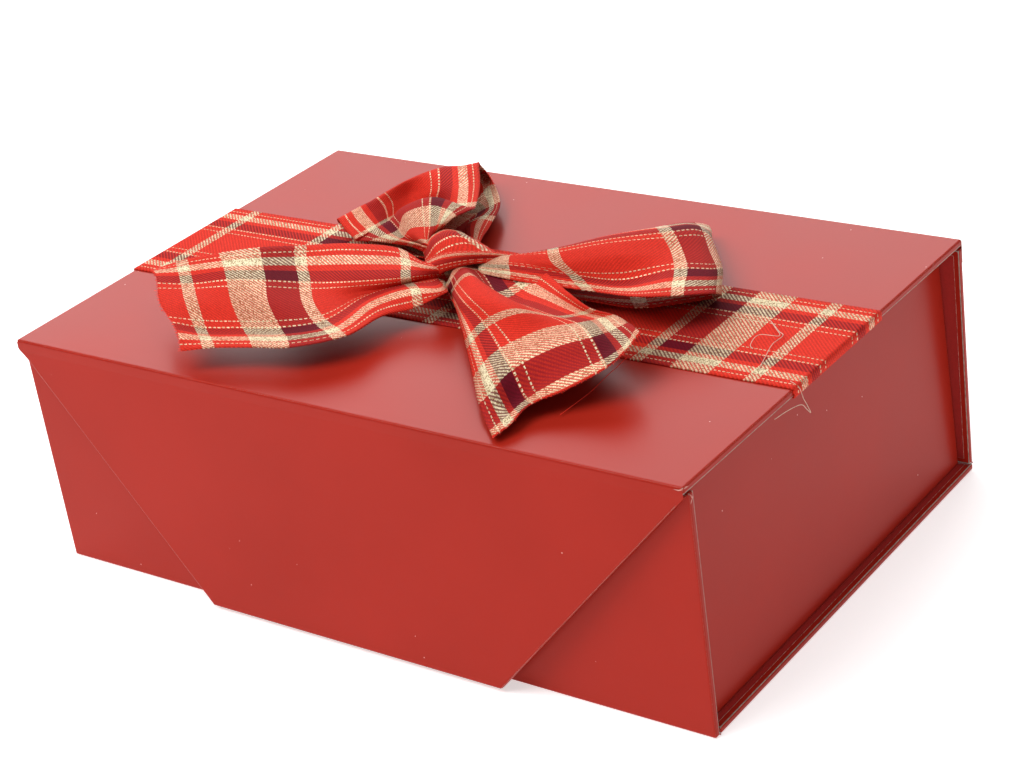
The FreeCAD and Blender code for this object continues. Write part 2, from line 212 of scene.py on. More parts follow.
BACK_LOOP = (
    (104, (-9, -6, 10), (-8.5, -5, 15), (-8, -4, 11), (-7, -3, 16),
     (-6, -2, 11), (-5, -1, 16), (-4, 0, 11)),
    (93, (-37.5, 5, 10), (-32, 0.5, 14), (-33.5, 4.5, 12), (-26, -0.5, 16),
     (-23, 0.5, 16), (-24.5, 5, 16), (-27.5, 11.5, 14)),
    (76.5, (-47.5, 6.5, 9), (-42, 4.5, 12), (-40, 5, 13), (-36, 6.5, 17),
     (-24, 5.5, 20), (-21, 6.5, 21), (-19.5, 7.5, 20.5)),
    (61.5, (-60.5, 9, 7), (-53.5, 9.5, 10), (-48, 10.5, 12), (-45, 15, 18.5),
     (-31, 17, 22.5), (-22, 14, 23), (-18, 12.5, 22)),
    (54, (-66, 9.5, 6), (-61, 14, 9), (-55, 15, 12), (-49.5, 19.5, 18.5),
     (-35, 23.5, 22.5), (-23, 19.5, 23), (-16.5, 18, 22)),
    (47, (-69, 9, 7), (-64.5, 16, 9), (-64, 22.5, 9), (-62.5, 36.5, 8),
     (-50.5, 43, 9), (-30, 31.5, 17), (-24.5, 33.5, 17.5)),
    (30, (-75.5, 12.5, 8), (-71.5, 19, 11), (-68, 25, 12), (-66.5, 45, 11),
     (-49.5, 46.5, 15), (-40, 46, 17), (-36.5, 52, 15.5)),
    (14, (-84.5, 18.5, 9), (-78.5, 24, 12), (-74, 28, 14), (-69.5, 46.5, 16),
     (-62.5, 64, 16), (-56.5, 67, 16), (-53, 74, 15)),
    (5, (-87.5, 22, 5.5), (-82, 28.5, 7), (-78, 33.5, 8), (-73, 50.5, 9),
     (-66, 67.5, 9), (-61, 71.5, 9.5), (-55.5, 78, 12)),
    (-2, (-83, 21.5, 2), (-79, 27.5, 2), (-75, 33, 2), (-69, 48.5, 2.5),
     (-61, 64, 3), (-59, 82.5, 5), (-53.5, 78.5, 9)),
    (-16, (-66, 16, 2), (-63, 22, 2), (-60, 28, 2), (-54, 43, 2),
     (-46, 57, 2.5), (-48.5, 71.5, 4.5), (-43.5, 70.5, 7)),
    (-30, (-51, 12, 3), (-49, 17, 2.5), (-47, 22, 2.5), (-41, 34, 2),
     (-38.5, 53.5, 4), (-34, 54.5, 6), (-33, 59, 6)),
    (-48, (-33, 7, 5), (-31, 11, 2.5), (-29, 15, 5), (-25, 24, 2),
     (-32.5, 35.5, 6), (-26, 36, 8.5), (-21.5, 36.5, 7.5)),
    (-64, (-19, 3, 11), (-17, 5, 6), (-16, 8, 10.5), (-13, 12, 5.5),
     (-19.5, 20, 9), (-15, 18, 10), (-14, 20, 9)),
    (-78, (-6, -3, 11), (-5.5, -2.5, 7), (-5, -2, 11), (-4, -1, 6.5),
     (-3, 1, 11), (-2.5, 1.5, 9), (-2, 2, 10)),
)
# The knot is the ribbon folded lengthwise: its front layer hangs below the edge that lies over the back one
KNOT = (
    (34, (-26.5, 0, 7), (-26, -1.5, 6), (-25.5, -2.5, 5), (-20.5, -8, 4),
     (-27, 1, 9), (-29, 3, 9), (-30.5, 4.5, 9)),
    (29, (-15, -10.5, 15), (-13.5, -12.5, 14.5), (-13.5, -14, 13), (-13, -14.5, 8),
     (-20, -4.5, 15), (-26, 1, 13), (-30.5, 5, 11)),
    (22, (-6, -13, 19.5), (-4.5, -14.5, 19), (-4, -16, 17.5), (-5.5, -15, 13),
     (-17, -4, 19), (-23, 1.5, 17), (-29.5, 8, 14)),
    (14, (2, -9.5, 20), (3, -11, 19.5), (3, -11.5, 18), (0.5, -11, 15),
     (-15, -1.5, 20.5), (-21.5, 5, 18), (-28, 12, 15)),
    (8, (9.5, -1.5, 17), (10.5, -3, 17), (10.5, -3.5, 16), (7.5, -5.5, 15),
     (-12, 1, 21), (-18, 7, 18.5), (-26, 14.5, 15)),
    (2, (13.5, 7.5, 12), (14.5, 5.5, 12.5), (14.5, 4.5, 12.5), (11.5, -0.5, 13.5),
     (-7, 2, 20), (-14, 8.5, 17.5), (-21.5, 15.5, 14)),
    (-3, (12, 14.5, 8), (13, 13.5, 8.5), (12.5, 12.5, 8.5), (9.5, 7.5, 9.5),
     (-11.5, 12, 14), (-19, 18.5, 11), (-24, 22.5, 9)),
)

# Frayed ends, in mm: how many threads, how far they reach, sway, root and rise, and their radius
FRAY_COUNT = 90
FRAY_REACH = (0.2, 0.9)
FRAY_SWAY = 0.25
FRAY_ROOT = 0.4
FRAY_RISE = 0.1
FRAY_RADIUS = 0.11

# Loose yarns: their radii, then x and y from the lid's middle and height above the lid, in mm
FRONT_YARN_RADIUS = 0.12
BAND_YARN_RADIUS = 0.13
YARN_STEPS = 6
FRONT_YARN = (
    (99, -50.5, 13), (95, -52.5, 9), (92, -55.5, 6), (89.5, -61, 3), (87.5, -68.5, 1.5), (86.5, -75.5, 0.9),
)
BAND_YARNS = (
    (
        (132.5, -22, 0.9), (130, -13, 1), (128, -5, 1.2),
        (128.5, 1.5, 1.5), (125.5, 4, 1.6), (118.5, 10.5, 1.4),
        (124, 4.5, 2.2), (128.5, -1, 2.6), (121, -2, 2.2), (121, -8, 1.4), (123, -10, 0.9),
    ),
    (
        (147, -26.5, 0.9), (150.5, -27, -0.5), (151.2, -26, -5), (151.2, -24, -8.5), (151.2, -22, -12.5),
        (151.3, -24.5, -10), (151.3, -28, -6.5), (151.2, -36.5, -4.5), (151.1, -45, -3.5),
    ),
)

# The photograph's camera, and the height that the lights aim at, in metres
CAMERA_PLACE = (0.521774, -0.637684, 0.468719)
CAMERA_TURN_DEG = (63.170, 7.4456, 35.1597)
CAMERA_LENS = 84.19
LIGHT_AIM = 0.08


def linear(colour, alpha=1.0):
    """An sRGB hex colour as the linear colour that a shader takes."""
    parts = [int(colour[i:i + 2], 16) / 255 for i in (0, 2, 4)]
    return (*[c / 12.92 if c <= 0.04045 else ((c + 0.055) / 1.055) ** 2.4 for c in parts], alpha)


def add(tree, kind, inputs=None, **settings):
    """Adds one node with its settings, and gives each named input a value or a link."""
    made = tree.nodes.new("ShaderNode" + kind)
    for key, value in settings.items():
        setattr(made, key, value)
    for key, value in (inputs or {}).items():
        if isinstance(value, bpy.types.NodeSocket):
            tree.links.new(value, made.inputs[key])
        else:
            made.inputs[key].default_value = value
    return made


def new_piece(name, mesh, material):
    """A mesh with its finish, as a piece in the scene."""
    mesh.materials.clear()
    mesh.materials.append(material)
    piece = bpy.data.objects.new(name, mesh)
    bpy.context.scene.collection.objects.link(piece)
    return piece


def new_material(name):
    """An empty node material, its tree and its output node."""
    material = bpy.data.materials.new(name)
    material.use_nodes = True
    tree = material.node_tree
    tree.nodes.clear()
    return material, tree, add(tree, "OutputMaterial")


def laminated_red_paper():
    """Red printed art paper under a matt film: even colour, a soft broad sheen and a faint orange-peel."""
    material, tree, output = new_material("laminated_red_paper")
    place = add(tree, "TexCoord").outputs["Object"]
    clouds = add(tree, "TexNoise", {"Vector": place, "Scale": 1 / (60 * MM), "Detail": 3.0})
    tint = add(tree, "ValToRGB", {"Fac": clouds.outputs["Fac"]})
    tint.color_ramp.elements[0].color = linear("A52619")
    tint.color_ramp.elements[0].position = 0.3
    tint.color_ramp.elements[1].color = linear("AC281B")
    tint.color_ramp.elements[1].position = 0.7
    # Dust: a few pale specks half a millimetre across
    dust = add(tree, "TexVoronoi", {"Vector": place, "Scale": 1 / (11 * MM), "Randomness": 1.0})
    speck = add(tree, "Math", {0: dust.outputs["Distance"], 1: 0.022}, operation="LESS_THAN")
    colour = add(
        tree, "Mix",
        {"Factor": speck.outputs[0], 6: tint.outputs["Color"], 7: linear("E9B8AE")},
        data_type="RGBA",
    )
    # The film's orange-peel is about 0.5 mm, drawn at 0.9 mm so that it shows
    peel = add(tree, "TexNoise", {"Vector": place, "Scale": 1 / (0.9 * MM), "Detail": 2.0})
    bump = add(tree, "Bump", {"Height": peel.outputs["Fac"], "Strength": 0.06, "Distance": 0.2 * MM})
    gloss = add(
        tree, "MapRange",
        {"Value": clouds.outputs["Fac"], 1: 0.3, 2: 0.7, 3: 0.285, 4: 0.32},
    )
    shader = add(
        tree, "BsdfPrincipled",
        {
            "Base Color": colour.outputs[2],
            "Roughness": gloss.outputs[0],
            "IOR": 1.5,
            "Specular IOR Level": 0.1,
            "Normal": bump.outputs[0],
        },
    )
    tree.links.new(shader.outputs[0], output.inputs[0])
    return material


def red_liner_paper():
    """Uncoated dyed paper: dry, a little darker than the wrap, with short fibres."""
    material, tree, output = new_material("red_liner_paper")
    place = add(tree, "TexCoord").outputs["Object"]
    fibre = add(
        tree, "TexNoise",
        {"Vector": place, "Scale": 1 / (1.2 * MM), "Detail": 4.0, "Distortion": 1.5},
    )
    tint = add(tree, "ValToRGB", {"Fac": fibre.outputs["Fac"]})
    tint.color_ramp.elements[0].color = linear("A01A12")
    tint.color_ramp.elements[0].position = 0.3
    tint.color_ramp.elements[1].color = linear("B02018")
    tint.color_ramp.elements[1].position = 0.75
    bump = add(tree, "Bump", {"Height": fibre.outputs["Fac"], "Strength": 0.12, "Distance": 0.2 * MM})
    shader = add(
        tree, "BsdfPrincipled",
        {"Base Color": tint.outputs["Color"], "Roughness": 0.8, "IOR": 1.5, "Normal": bump.outputs[0]},
    )
    tree.links.new(shader.outputs[0], output.inputs[0])
    return material


def greyboard():
    """Recycled greyboard: warm grey pulp with darker flecks."""
    material, tree, output = new_material("greyboard")
    place = add(tree, "TexCoord").outputs["Object"]
    pulp = add(tree, "TexNoise", {"Vector": place, "Scale": 1 / (1.5 * MM), "Detail": 5.0})
    tint = add(tree, "ValToRGB", {"Fac": pulp.outputs["Fac"]})
    tint.color_ramp.elements[0].color = linear("8C857A")
    tint.color_ramp.elements[0].position = 0.35
    tint.color_ramp.elements[1].color = linear("B5AEA1")
    tint.color_ramp.elements[1].position = 0.65
    bump = add(tree, "Bump", {"Height": pulp.outputs["Fac"], "Strength": 0.3, "Distance": 0.3 * MM})
    shader = add(
        tree, "BsdfPrincipled",
        {"Base Color": tint.outputs["Color"], "Roughness": 0.9, "IOR": 1.5, "Normal": bump.outputs[0]},
    )
    tree.links.new(shader.outputs[0], output.inputs[0])
    return material


def nickel_plate():
    """Bright nickel plating on a pressed disc, its gloss faintly mottled."""
    material, tree, output = new_material("nickel_plate")
    place = add(tree, "TexCoord").outputs["Object"]
    marks = add(tree, "TexNoise", {"Vector": place, "Scale": 1 / (0.6 * MM), "Detail": 3.0})
    rough = add(tree, "MapRange", {"Value": marks.outputs["Fac"], 3: 0.18, 4: 0.4})
    tint = add(tree, "ValToRGB", {"Fac": marks.outputs["Fac"]})
    tint.color_ramp.elements[0].color = linear("B9B5AC")
    tint.color_ramp.elements[1].color = linear("D2CFC8")
    shader = add(
        tree, "BsdfPrincipled",
        {"Base Color": tint.outputs["Color"], "Metallic": 1.0, "Roughness": rough.outputs[0]},
    )
    tree.links.new(shader.outputs[0], output.inputs[0])
    return material


def adhesive_film():
    """Double-sided tissue tape: milky film with a dull, slightly uneven glue."""
    material, tree, output = new_material("adhesive_film")
    place = add(tree, "TexCoord").outputs["Object"]
    glue = add(tree, "TexNoise", {"Vector": place, "Scale": 1 / (3 * MM), "Detail": 3.0})
    tint = add(tree, "ValToRGB", {"Fac": glue.outputs["Fac"]})
    tint.color_ramp.elements[0].color = linear("DAD3C0")
    tint.color_ramp.elements[1].color = linear("EFEADB")
    rough = add(tree, "MapRange", {"Value": glue.outputs["Fac"], 3: 0.35, 4: 0.55})
    shader = add(
        tree, "BsdfPrincipled",
        {"Base Color": tint.outputs["Color"], "Roughness": rough.outputs[0], "IOR": 1.47},
    )
    tree.links.new(shader.outputs[0], output.inputs[0])
    return material


def paper_core():
    """The white core of torn or cut red paper: dry fibres, tinged red."""
    material, tree, output = new_material("paper_core")
    place = add(tree, "TexCoord").outputs["Object"]
    fibre = add(tree, "TexNoise", {"Vector": place, "Scale": 1 / (1.5 * MM), "Detail": 3.0})
    tint = add(tree, "ValToRGB", {"Fac": fibre.outputs["Fac"]})
    tint.color_ramp.elements[0].color = linear("B45A4E")
    tint.color_ramp.elements[0].position = 0.35
    tint.color_ramp.elements[1].color = linear("DDAA9E")
    tint.color_ramp.elements[1].position = 0.6
    shader = add(tree, "BsdfPrincipled", {"Base Color": tint.outputs["Color"], "Roughness": 0.9})
    tree.links.new(shader.outputs[0], output.inputs[0])
    return material


def spun_yarn(name, colour):
    """A single loose yarn: matt, a little lighter and darker along its twist."""
    material, tree, output = new_material(name)
    place = add(tree, "TexCoord").outputs["Object"]
    twist = add(tree, "TexNoise", {"Vector": place, "Scale": 1 / (1.0 * MM), "Detail": 2.0})
    tint = add(tree, "ValToRGB", {"Fac": twist.outputs["Fac"]})
    tint.color_ramp.elements[0].color = [c * 0.7 for c in linear(colour)[:3]] + [1.0]
    tint.color_ramp.elements[0].position = 0.3
    tint.color_ramp.elements[1].color = linear(colour)
    tint.color_ramp.elements[1].position = 0.7
    shader = add(
        tree, "BsdfPrincipled",
        {"Base Color": tint.outputs["Color"], "Roughness": 0.7, "Specular IOR Level": 0.3},
    )
    tree.links.new(shader.outputs[0], output.inputs[0])
    return material


def fill_stops(ramp, starts, yarns):
    """Hard steps from yarn to yarn, whose alpha says where the yarn is gold."""
    ramp.interpolation = "CONSTANT"
    while len(ramp.elements) > 1:
        ramp.elements.remove(ramp.elements[-1])
    for index, (start, yarn) in enumerate(zip(starts, yarns)):
        stop = ramp.elements[0] if index == 0 else ramp.elements.new(start)
        stop.position = start
        stop.color = linear(yarn, float(yarn == GOLD_YARN))


def plaid_stripes(tree, across, along):
    """The warp's and the weft's colours and where they are gold, and where a dashed line lies on top."""
    # Distance from the nearer selvage, as a share of the width
    centred = add(tree, "Math", {0: across, 1: RIBBON_WIDTH / 2 * MM}, operation="SUBTRACT")
    aside = add(tree, "Math", {0: centred.outputs[0]}, operation="ABSOLUTE")
    selvage = add(
        tree, "MapRange", {"Value": aside.outputs[0], 1: RIBBON_WIDTH / 2 * MM, 2: 0.0, 3: 0.0, 4: 0.5},
    )
    warp = add(tree, "ValToRGB", {"Fac": selvage.outputs[0]})
    fill_stops(warp.color_ramp, WARP_STARTS, WARP_YARNS)
    turn = add(tree, "Math", {0: along, 1: WEFT_REPEAT * MM}, operation="DIVIDE")
    step = add(tree, "Math", {0: turn.outputs[0]}, operation="FRACT")
    weft = add(tree, "ValToRGB", {"Fac": step.outputs[0]})
    fill_stops(weft.color_ramp, np.cumsum((0,) + WEFT_WIDTHS[:-1]) / WEFT_REPEAT, WEFT_YARNS)
    # Single gold warp yarns that float over three picks and under two: the dashed lines
    lines = add(tree, "ValToRGB", {"Fac": selvage.outputs[0]})
    starts, yarns = [0.0], [RED_YARN]
    for middle in DASHED_WARPS:
        starts += [middle - DASH_WIDTH / 2, middle + DASH_WIDTH / 2]
        yarns += [GOLD_YARN, RED_YARN]
    fill_stops(lines.color_ramp, starts, yarns)
    beat = add(tree, "Math", {0: along, 1: DASH_PITCH * MM}, operation="DIVIDE")
    stitch = add(tree, "Math", {0: beat.outputs[0]}, operation="FRACT")
    float_on = add(tree, "Math", {0: stitch.outputs[0], 1: DASH_SHARE}, operation="LESS_THAN")
    dash = add(tree, "Math", {0: lines.outputs["Alpha"], 1: float_on.outputs[0]}, operation="MULTIPLY")
    dashed = add(
        tree, "Mix",
        {"Factor": dash.outputs[0], 6: warp.outputs["Color"], 7: linear(GOLD_YARN)},
        data_type="RGBA",
    )
    gold = add(tree, "Math", {0: warp.outputs["Alpha"], 1: dash.outputs[0]}, operation="MAXIMUM")
    return dashed.outputs[2], gold.outputs[0], weft.outputs["Color"], weft.outputs["Alpha"], dash.outputs[0]


def twill_crossings(tree, across, along):
    """A 2/2 twill: each crossing's numbers, whether weft lies on top there, and both yarns' rounding."""
    end = add(tree, "Math", {0: across, 1: YARN_PITCH * MM}, operation="DIVIDE")
    pick = add(tree, "Math", {0: along, 1: YARN_PITCH * MM}, operation="DIVIDE")
    end_number = add(tree, "Math", {0: end.outputs[0]}, operation="FLOOR")
    pick_number = add(tree, "Math", {0: pick.outputs[0]}, operation="FLOOR")
    crossing = add(tree, "CombineXYZ", {0: end_number.outputs[0], 1: pick_number.outputs[0]})
    shift = add(tree, "Math", {0: end_number.outputs[0], 1: pick_number.outputs[0]}, operation="ADD")
    place = add(tree, "Math", {0: shift.outputs[0], 1: 4.0}, operation="FLOORED_MODULO")
    weft_over = add(tree, "Math", {0: place.outputs[0], 1: 1.5}, operation="GREATER_THAN")
    in_end = add(tree, "Math", {0: end.outputs[0]}, operation="FRACT")
    in_pick = add(tree, "Math", {0: pick.outputs[0]}, operation="FRACT")
    round_end = add(tree, "Math", {0: in_end.outputs[0], 1: 0.5}, operation="PINGPONG")
    round_pick = add(tree, "Math", {0: in_pick.outputs[0], 1: 0.5}, operation="PINGPONG")
    return crossing.outputs[0], weft_over.outputs[0], round_end.outputs[0], round_pick.outputs[0]


def yarn_tones(tree, crossing, weft_over, gold):
    """How light or dark each yarn is drawn at a crossing, with painted glints and painted light in it."""
    # Painted glints: each flat gold float is drawn lighter or darker at random, as if it turned to or away
    # from the light, so the gold glitters
    chance = add(tree, "TexWhiteNoise", {"Vector": crossing})
    painted_glint = add(tree, "ValToRGB", {"Fac": chance.outputs["Value"]})
    painted_glint.color_ramp.elements[0].color = linear("A07A4C")
    painted_glint.color_ramp.elements[1].color = linear("FFFFFF")
    painted_glint.color_ramp.elements[1].position = 0.6
    # Dyed yarn varies a little at random, and weft on top is painted lighter than warp, as if it caught
    # more light, which shows the twill
    lit = add(tree, "Math", {0: chance.outputs["Value"], 1: weft_over}, operation="ADD")
    shade = add(tree, "Math", {0: lit.outputs[0], 1: 0.5}, operation="MULTIPLY")
    dye_and_painted_light = add(tree, "ValToRGB", {"Fac": shade.outputs[0]})
    dye_and_painted_light.color_ramp.elements[0].color = linear("D2D2D2")
    dye_and_painted_light.color_ramp.elements[1].color = linear("FFFFFF")
    tone = add(
        tree, "Mix", {"Factor": gold, 6: dye_and_painted_light.outputs["Color"], 7: painted_glint.outputs["Color"]},
        data_type="RGBA",
    )
    return tone.outputs[2]


def plaid_twill():
    """Yarn-dyed twill: matt red and maroon yarn, and glittering flat gold in stripes and dashed lines, with
    the gold's glints and the shade between yarns partly painted into the colour.
    """
    material, tree, output = new_material("plaid_twill")
    weave = add(tree, "SeparateXYZ", {0: add(tree, "UVMap", uv_map="weave").outputs[0]})
    across, along = weave.outputs[0], weave.outputs[1]
    warp, warp_gold, weft, weft_gold, dash = plaid_stripes(tree, across, along)
    crossing, weft_over, round_end, round_pick = twill_crossings(tree, across, along)
    no_dash = add(tree, "Math", {0: 1.0, 1: dash}, operation="SUBTRACT")
    face = add(tree, "Math", {0: weft_over, 1: no_dash.outputs[0]}, operation="MULTIPLY")
    # Fine dyed yarns blend to the eye, so their twill is drawn fainter than that of the gold
    some_gold = add(tree, "Math", {0: warp_gold, 1: weft_gold}, operation="MAXIMUM")
    faint_low = add(tree, "MapRange", {"Value": some_gold.outputs[0], 3: 0.3, 4: 0.12})
    faint_high = add(tree, "MapRange", {"Value": some_gold.outputs[0], 3: 0.7, 4: 0.88})
    share = add(
        tree, "MapRange", {"Value": face.outputs[0], 3: faint_low.outputs[0], 4: faint_high.outputs[0]},
    )
    cloth = add(tree, "Mix", {"Factor": share.outputs[0], 6: warp, 7: weft}, data_type="RGBA")
    gold = add(tree, "Mix", {"Factor": face.outputs[0], 2: warp_gold, 3: weft_gold})
    tone = yarn_tones(tree, crossing, weft_over, gold.outputs[0])
    # Yarns stand rounded out of the cloth, and the shade in the hollows between them is painted into the
    # colour
    height = add(tree, "Mix", {"Factor": face.outputs[0], 2: round_end, 3: round_pick})
    painted_hollow_shade = add(tree, "ValToRGB", {"Fac": height.outputs[0]})
    painted_hollow_shade.color_ramp.elements[0].color = linear("D6D6D6")
    painted_hollow_shade.color_ramp.elements[1].color = linear("FFFFFF")
    painted_hollow_shade.color_ramp.elements[1].position = 0.4
    shaded = add(
        tree, "Mix", {"Factor": 1.0, 6: tone, 7: painted_hollow_shade.outputs["Color"]},
        data_type="RGBA", blend_type="MULTIPLY",
    )
    colour = add(
        tree, "Mix", {"Factor": 1.0, 6: cloth.outputs[2], 7: shaded.outputs[2]},
        data_type="RGBA", blend_type="MULTIPLY",
    )
    rough = add(tree, "MapRange", {"Value": gold.outputs[0], 3: 0.8, 4: 0.4})
    metal = add(tree, "MapRange", {"Value": gold.outputs[0], 3: 0.0, 4: 0.3})
    bump = add(tree, "Bump", {"Height": height.outputs[0], "Strength": 0.7, "Distance": 0.25 * MM})
    shader = add(
        tree, "BsdfPrincipled",
        {
            "Base Color": colour.outputs[2],
            "Roughness": rough.outputs[0],
            "Metallic": metal.outputs[0],
            "Specular IOR Level": 0.12,
            "Sheen Weight": 0.05,
            "Sheen Roughness": 0.4,
            "Sheen Tint": linear("FF8070"),
            "Normal": bump.outputs[0],
        },
    )
    tree.links.new(shader.outputs[0], output.inputs[0])
    return material


def smooth_through(knots, values, at):
    """A smooth curve through values at rising knots, read at other places."""
    values = np.asarray(values, float)
    shape = values.shape[1:]
    flat = values.reshape(len(values), -1)
    steps = np.diff(knots)[:, None]
    slopes = np.diff(flat, axis=0) / steps
    tangents = np.empty_like(flat)
    tangents[0], tangents[-1] = slopes[0], slopes[-1]
    tangents[1:-1] = (steps[1:] * slopes[:-1] + steps[:-1] * slopes[1:]) / (steps[1:] + steps[:-1])
    index = np.clip(np.searchsorted(knots, at, side="right") - 1, 0, len(knots) - 2)
    width = steps[index]
    t = ((at - np.asarray(knots)[index])[:, None]) / width
    out = (
        (2 * t**3 - 3 * t**2 + 1) * flat[index]
        + (t**3 - 2 * t**2 + t) * width * tangents[index]
        + (3 * t**2 - 2 * t**3) * flat[index + 1]
        + (t**3 - t**2) * width * tangents[index + 1]
    )
    return out.reshape(len(at), *shape)


def ribbon_grid(rows):
    """Points of a ribbon through given rows, in mm, and how far along the cloth each line lies."""
    places = np.array([row[0] for row in rows], float)
    points = np.array([row[1:] for row in rows], float) + (0, 0, LID_TOP)
    shares = np.linspace(0, 1, CLOTH_COLUMNS)
    wide = smooth_through(THREADS, points.transpose(1, 0, 2), shares).transpose(1, 0, 2)
    steps = np.linalg.norm(np.diff(wide, axis=0), axis=2).mean(axis=1)
    knots = np.concatenate([[0], np.cumsum(steps)])
    fine = np.linspace(0, knots[-1], int(knots[-1] / CLOTH_PITCH) + 2)
    return smooth_through(knots, wide, fine), smooth_through(knots, places, fine)


def ribbon_mesh(name, grid, along, material):
    """A woven ribbon over a grid of points, with its weave laid out in real metres."""
    count, columns = grid.shape[:2]
    number = np.arange(count * columns).reshape(count, columns)
    faces = np.stack([number[:-1, :-1], number[:-1, 1:], number[1:, 1:], number[1:, :-1]], axis=-1)
    mesh = bpy.data.meshes.new(name)
    mesh.from_pydata((grid.reshape(-1, 3) * MM).tolist(), [], faces.reshape(-1, 4).tolist())
    mesh.polygons.foreach_set("use_smooth", [True] * len(mesh.polygons))
    layer = mesh.uv_layers.new(name="weave")
    widths = np.linspace(0, RIBBON_WIDTH, columns)
    flat = np.stack(np.broadcast_arrays(widths[None, :], along[:, None]), axis=-1).reshape(-1, 2) * MM
    corner = np.empty(len(mesh.loops), int)
    mesh.loops.foreach_get("vertex_index", corner)
    layer.data.foreach_set("uv", flat[corner].ravel())
    piece = new_piece(name, mesh, material)
    solid = piece.modifiers.new("thickness", "SOLIDIFY")
    solid.thickness = RIBBON_THICK * MM
    solid.offset = 0
    return piece


def bow_ribbon(name, node, shape, material):
    """One gathered ribbon of the bow, in place of its CAD solid."""
    grid, along = shape
    piece = ribbon_mesh(name, grid, along, material)
    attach(piece, "lid")
    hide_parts(node)


def band_ribbon(material):
    """The band over the lid, round both ends and tucked under, with its middle drifting a little."""
    half = LID_HIGH[0] + BAND_LIFT
    top = LID_TOP + BAND_LIFT
    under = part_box("ribbon_band")[0].z / MM + BAND_LIFT
    tuck = half - BAND_TUCK
    path = [(-tuck, under), (-half, under), (-half, top), (half, top), (half, under), (tuck, under)]
    dense, along = [], []
    run = 0.0
    for (x0, z0), (x1, z1) in zip(path, path[1:]):
        length = math.hypot(x1 - x0, z1 - z0)
        pieces = max(2, int(length / BAND_PITCH))
        for k in range(pieces):
            share = k / pieces
            dense.append((x0 + (x1 - x0) * share, z0 + (z1 - z0) * share))
            along.append(run + length * share)
        run += length
    dense.append(path[-1])
    along.append(run)
    dense = np.array(dense)
    along = np.array(along)
    columns = np.linspace(-RIBBON_WIDTH / 2, RIBBON_WIDTH / 2, BAND_COLUMNS)
    middle = BAND_MIDDLE + dense[:, 0] * BAND_DRIFT
    grid = np.empty((len(dense), len(columns), 3))
    grid[:, :, 0] = dense[:, None, 0]
    grid[:, :, 1] = middle[:, None] + columns[None, :]
    grid[:, :, 2] = dense[:, None, 1]
    start = along[np.argmin(np.abs(dense[:, 0] - BAND_FIRST_STRIPE) + np.abs(dense[:, 1] - top))]
    piece = ribbon_mesh("plaid_band", grid, along - start + WEFT_WIDTHS[0] / 2, material)
    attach(piece, "lid")
    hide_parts("ribbon_band")


def yarn_piece(name, paths, radius, material):
    """Loose yarns along smooth paths through points in mm, as one mesh."""
    curve = bpy.data.curves.new(name, "CURVE")
    curve.dimensions = "3D"
    curve.bevel_depth = radius * MM
    curve.bevel_resolution = 1
    for path in paths:
        knots = np.arange(len(path), dtype=float)
        fine = smooth_through(knots, path, np.linspace(0, knots[-1], YARN_STEPS * (len(path) - 1) + 1)) * MM
        spline = curve.splines.new("POLY")
        spline.points.add(len(fine) - 1)
        spline.points.foreach_set("co", np.column_stack([fine, np.ones(len(fine))]).ravel())
    rope = bpy.data.objects.new(name + "_path", curve)
    mesh = bpy.data.meshes.new_from_object(rope)
    bpy.data.objects.remove(rope)
    piece = new_piece(name, mesh, material)
    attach(piece, "lid")
    return piece


def frayed_end(name, shape, material):
    """Short yarn ends that stand out of a ribbon's cut edge."""
    grid, _ = shape
    columns = grid.shape[1]
    places = np.linspace(0, columns - 1, FRAY_COUNT)
    edge = smooth_through(np.arange(columns, dtype=float), grid[-1], places)
    onward = grid[-1].mean(axis=0) - grid[-4].mean(axis=0)
    onward /= np.linalg.norm(onward)
    chance = np.random.default_rng(4)
    paths = []
    for start in edge:
        reach = chance.uniform(*FRAY_REACH)
        sway = chance.normal(0, FRAY_SWAY, 3) * reach
        tip = start + onward * reach + sway
        paths.append([start - onward * FRAY_ROOT, (start + tip) / 2 + (0, 0, FRAY_RISE), tip])
    return yarn_piece(name, paths, FRAY_RADIUS, material)


def board_hull(node):
    """The plain outer shape of a board or liner, its pockets closed."""
    merge = 0.01 * MM
    flat_angle = 0.02
    shell = bmesh.new()
    for vertex in frame["nodes"][node].data.vertices:
        shell.verts.new(vertex.co)
    found = bmesh.ops.convex_hull(shell, input=shell.verts)
    left_over = found["geom_interior"] + found["geom_unused"]
    spare = {item for item in left_over if isinstance(item, bmesh.types.BMVert)}
    bmesh.ops.delete(shell, geom=list(spare), context="VERTS")
    bmesh.ops.remove_doubles(shell, verts=shell.verts, dist=merge)
    bmesh.ops.dissolve_limit(shell, angle_limit=flat_angle, verts=shell.verts, edges=shell.edges)
    return shell


def paper_piece(name, shell, node, material):
    """A finished paper shape as a piece that rides with its panel's body."""
    mesh = bpy.data.meshes.new(name)
    shell.to_mesh(mesh)
    shell.free()
    piece = new_piece(name, mesh, material)
    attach(piece, frame["nodes"][node]["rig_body"])
    return piece


def softened_wrap(panel, material):
    """A panel's wrap with its paper rounded over the board's edges, in place of the sharper CAD one."""
    shell = board_hull(panel + "_board")
    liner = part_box(panel + "_liner")
    inside = (liner[0] + liner[1]) / 2
    # On the liner's side the paper is only turned in, so it stands out less
    corners = {}
    for vertex in shell.verts:
        normals = np.array([face.normal for face in vertex.link_faces])
        reach = []
        for face in vertex.link_faces:
            towards = (inside - face.calc_center_median()).dot(face.normal)
            reach.append(TURN_IN if 0 < towards < NEAR_LINER * MM else WRAP_THICK)
        corners[vertex] = np.linalg.solve(normals, normals @ vertex.co + np.array(reach) * MM)
    for vertex, place in corners.items():
        vertex.co = place
    bmesh.ops.bevel(
        shell, geom=shell.edges[:], offset=WRAP_ROUND * MM, segments=5, profile=0.5, affect="EDGES",
    )
    piece = paper_piece(panel + "_wrap_rounded", shell, panel + "_wrap", material)
    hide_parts(panel + "_wrap")


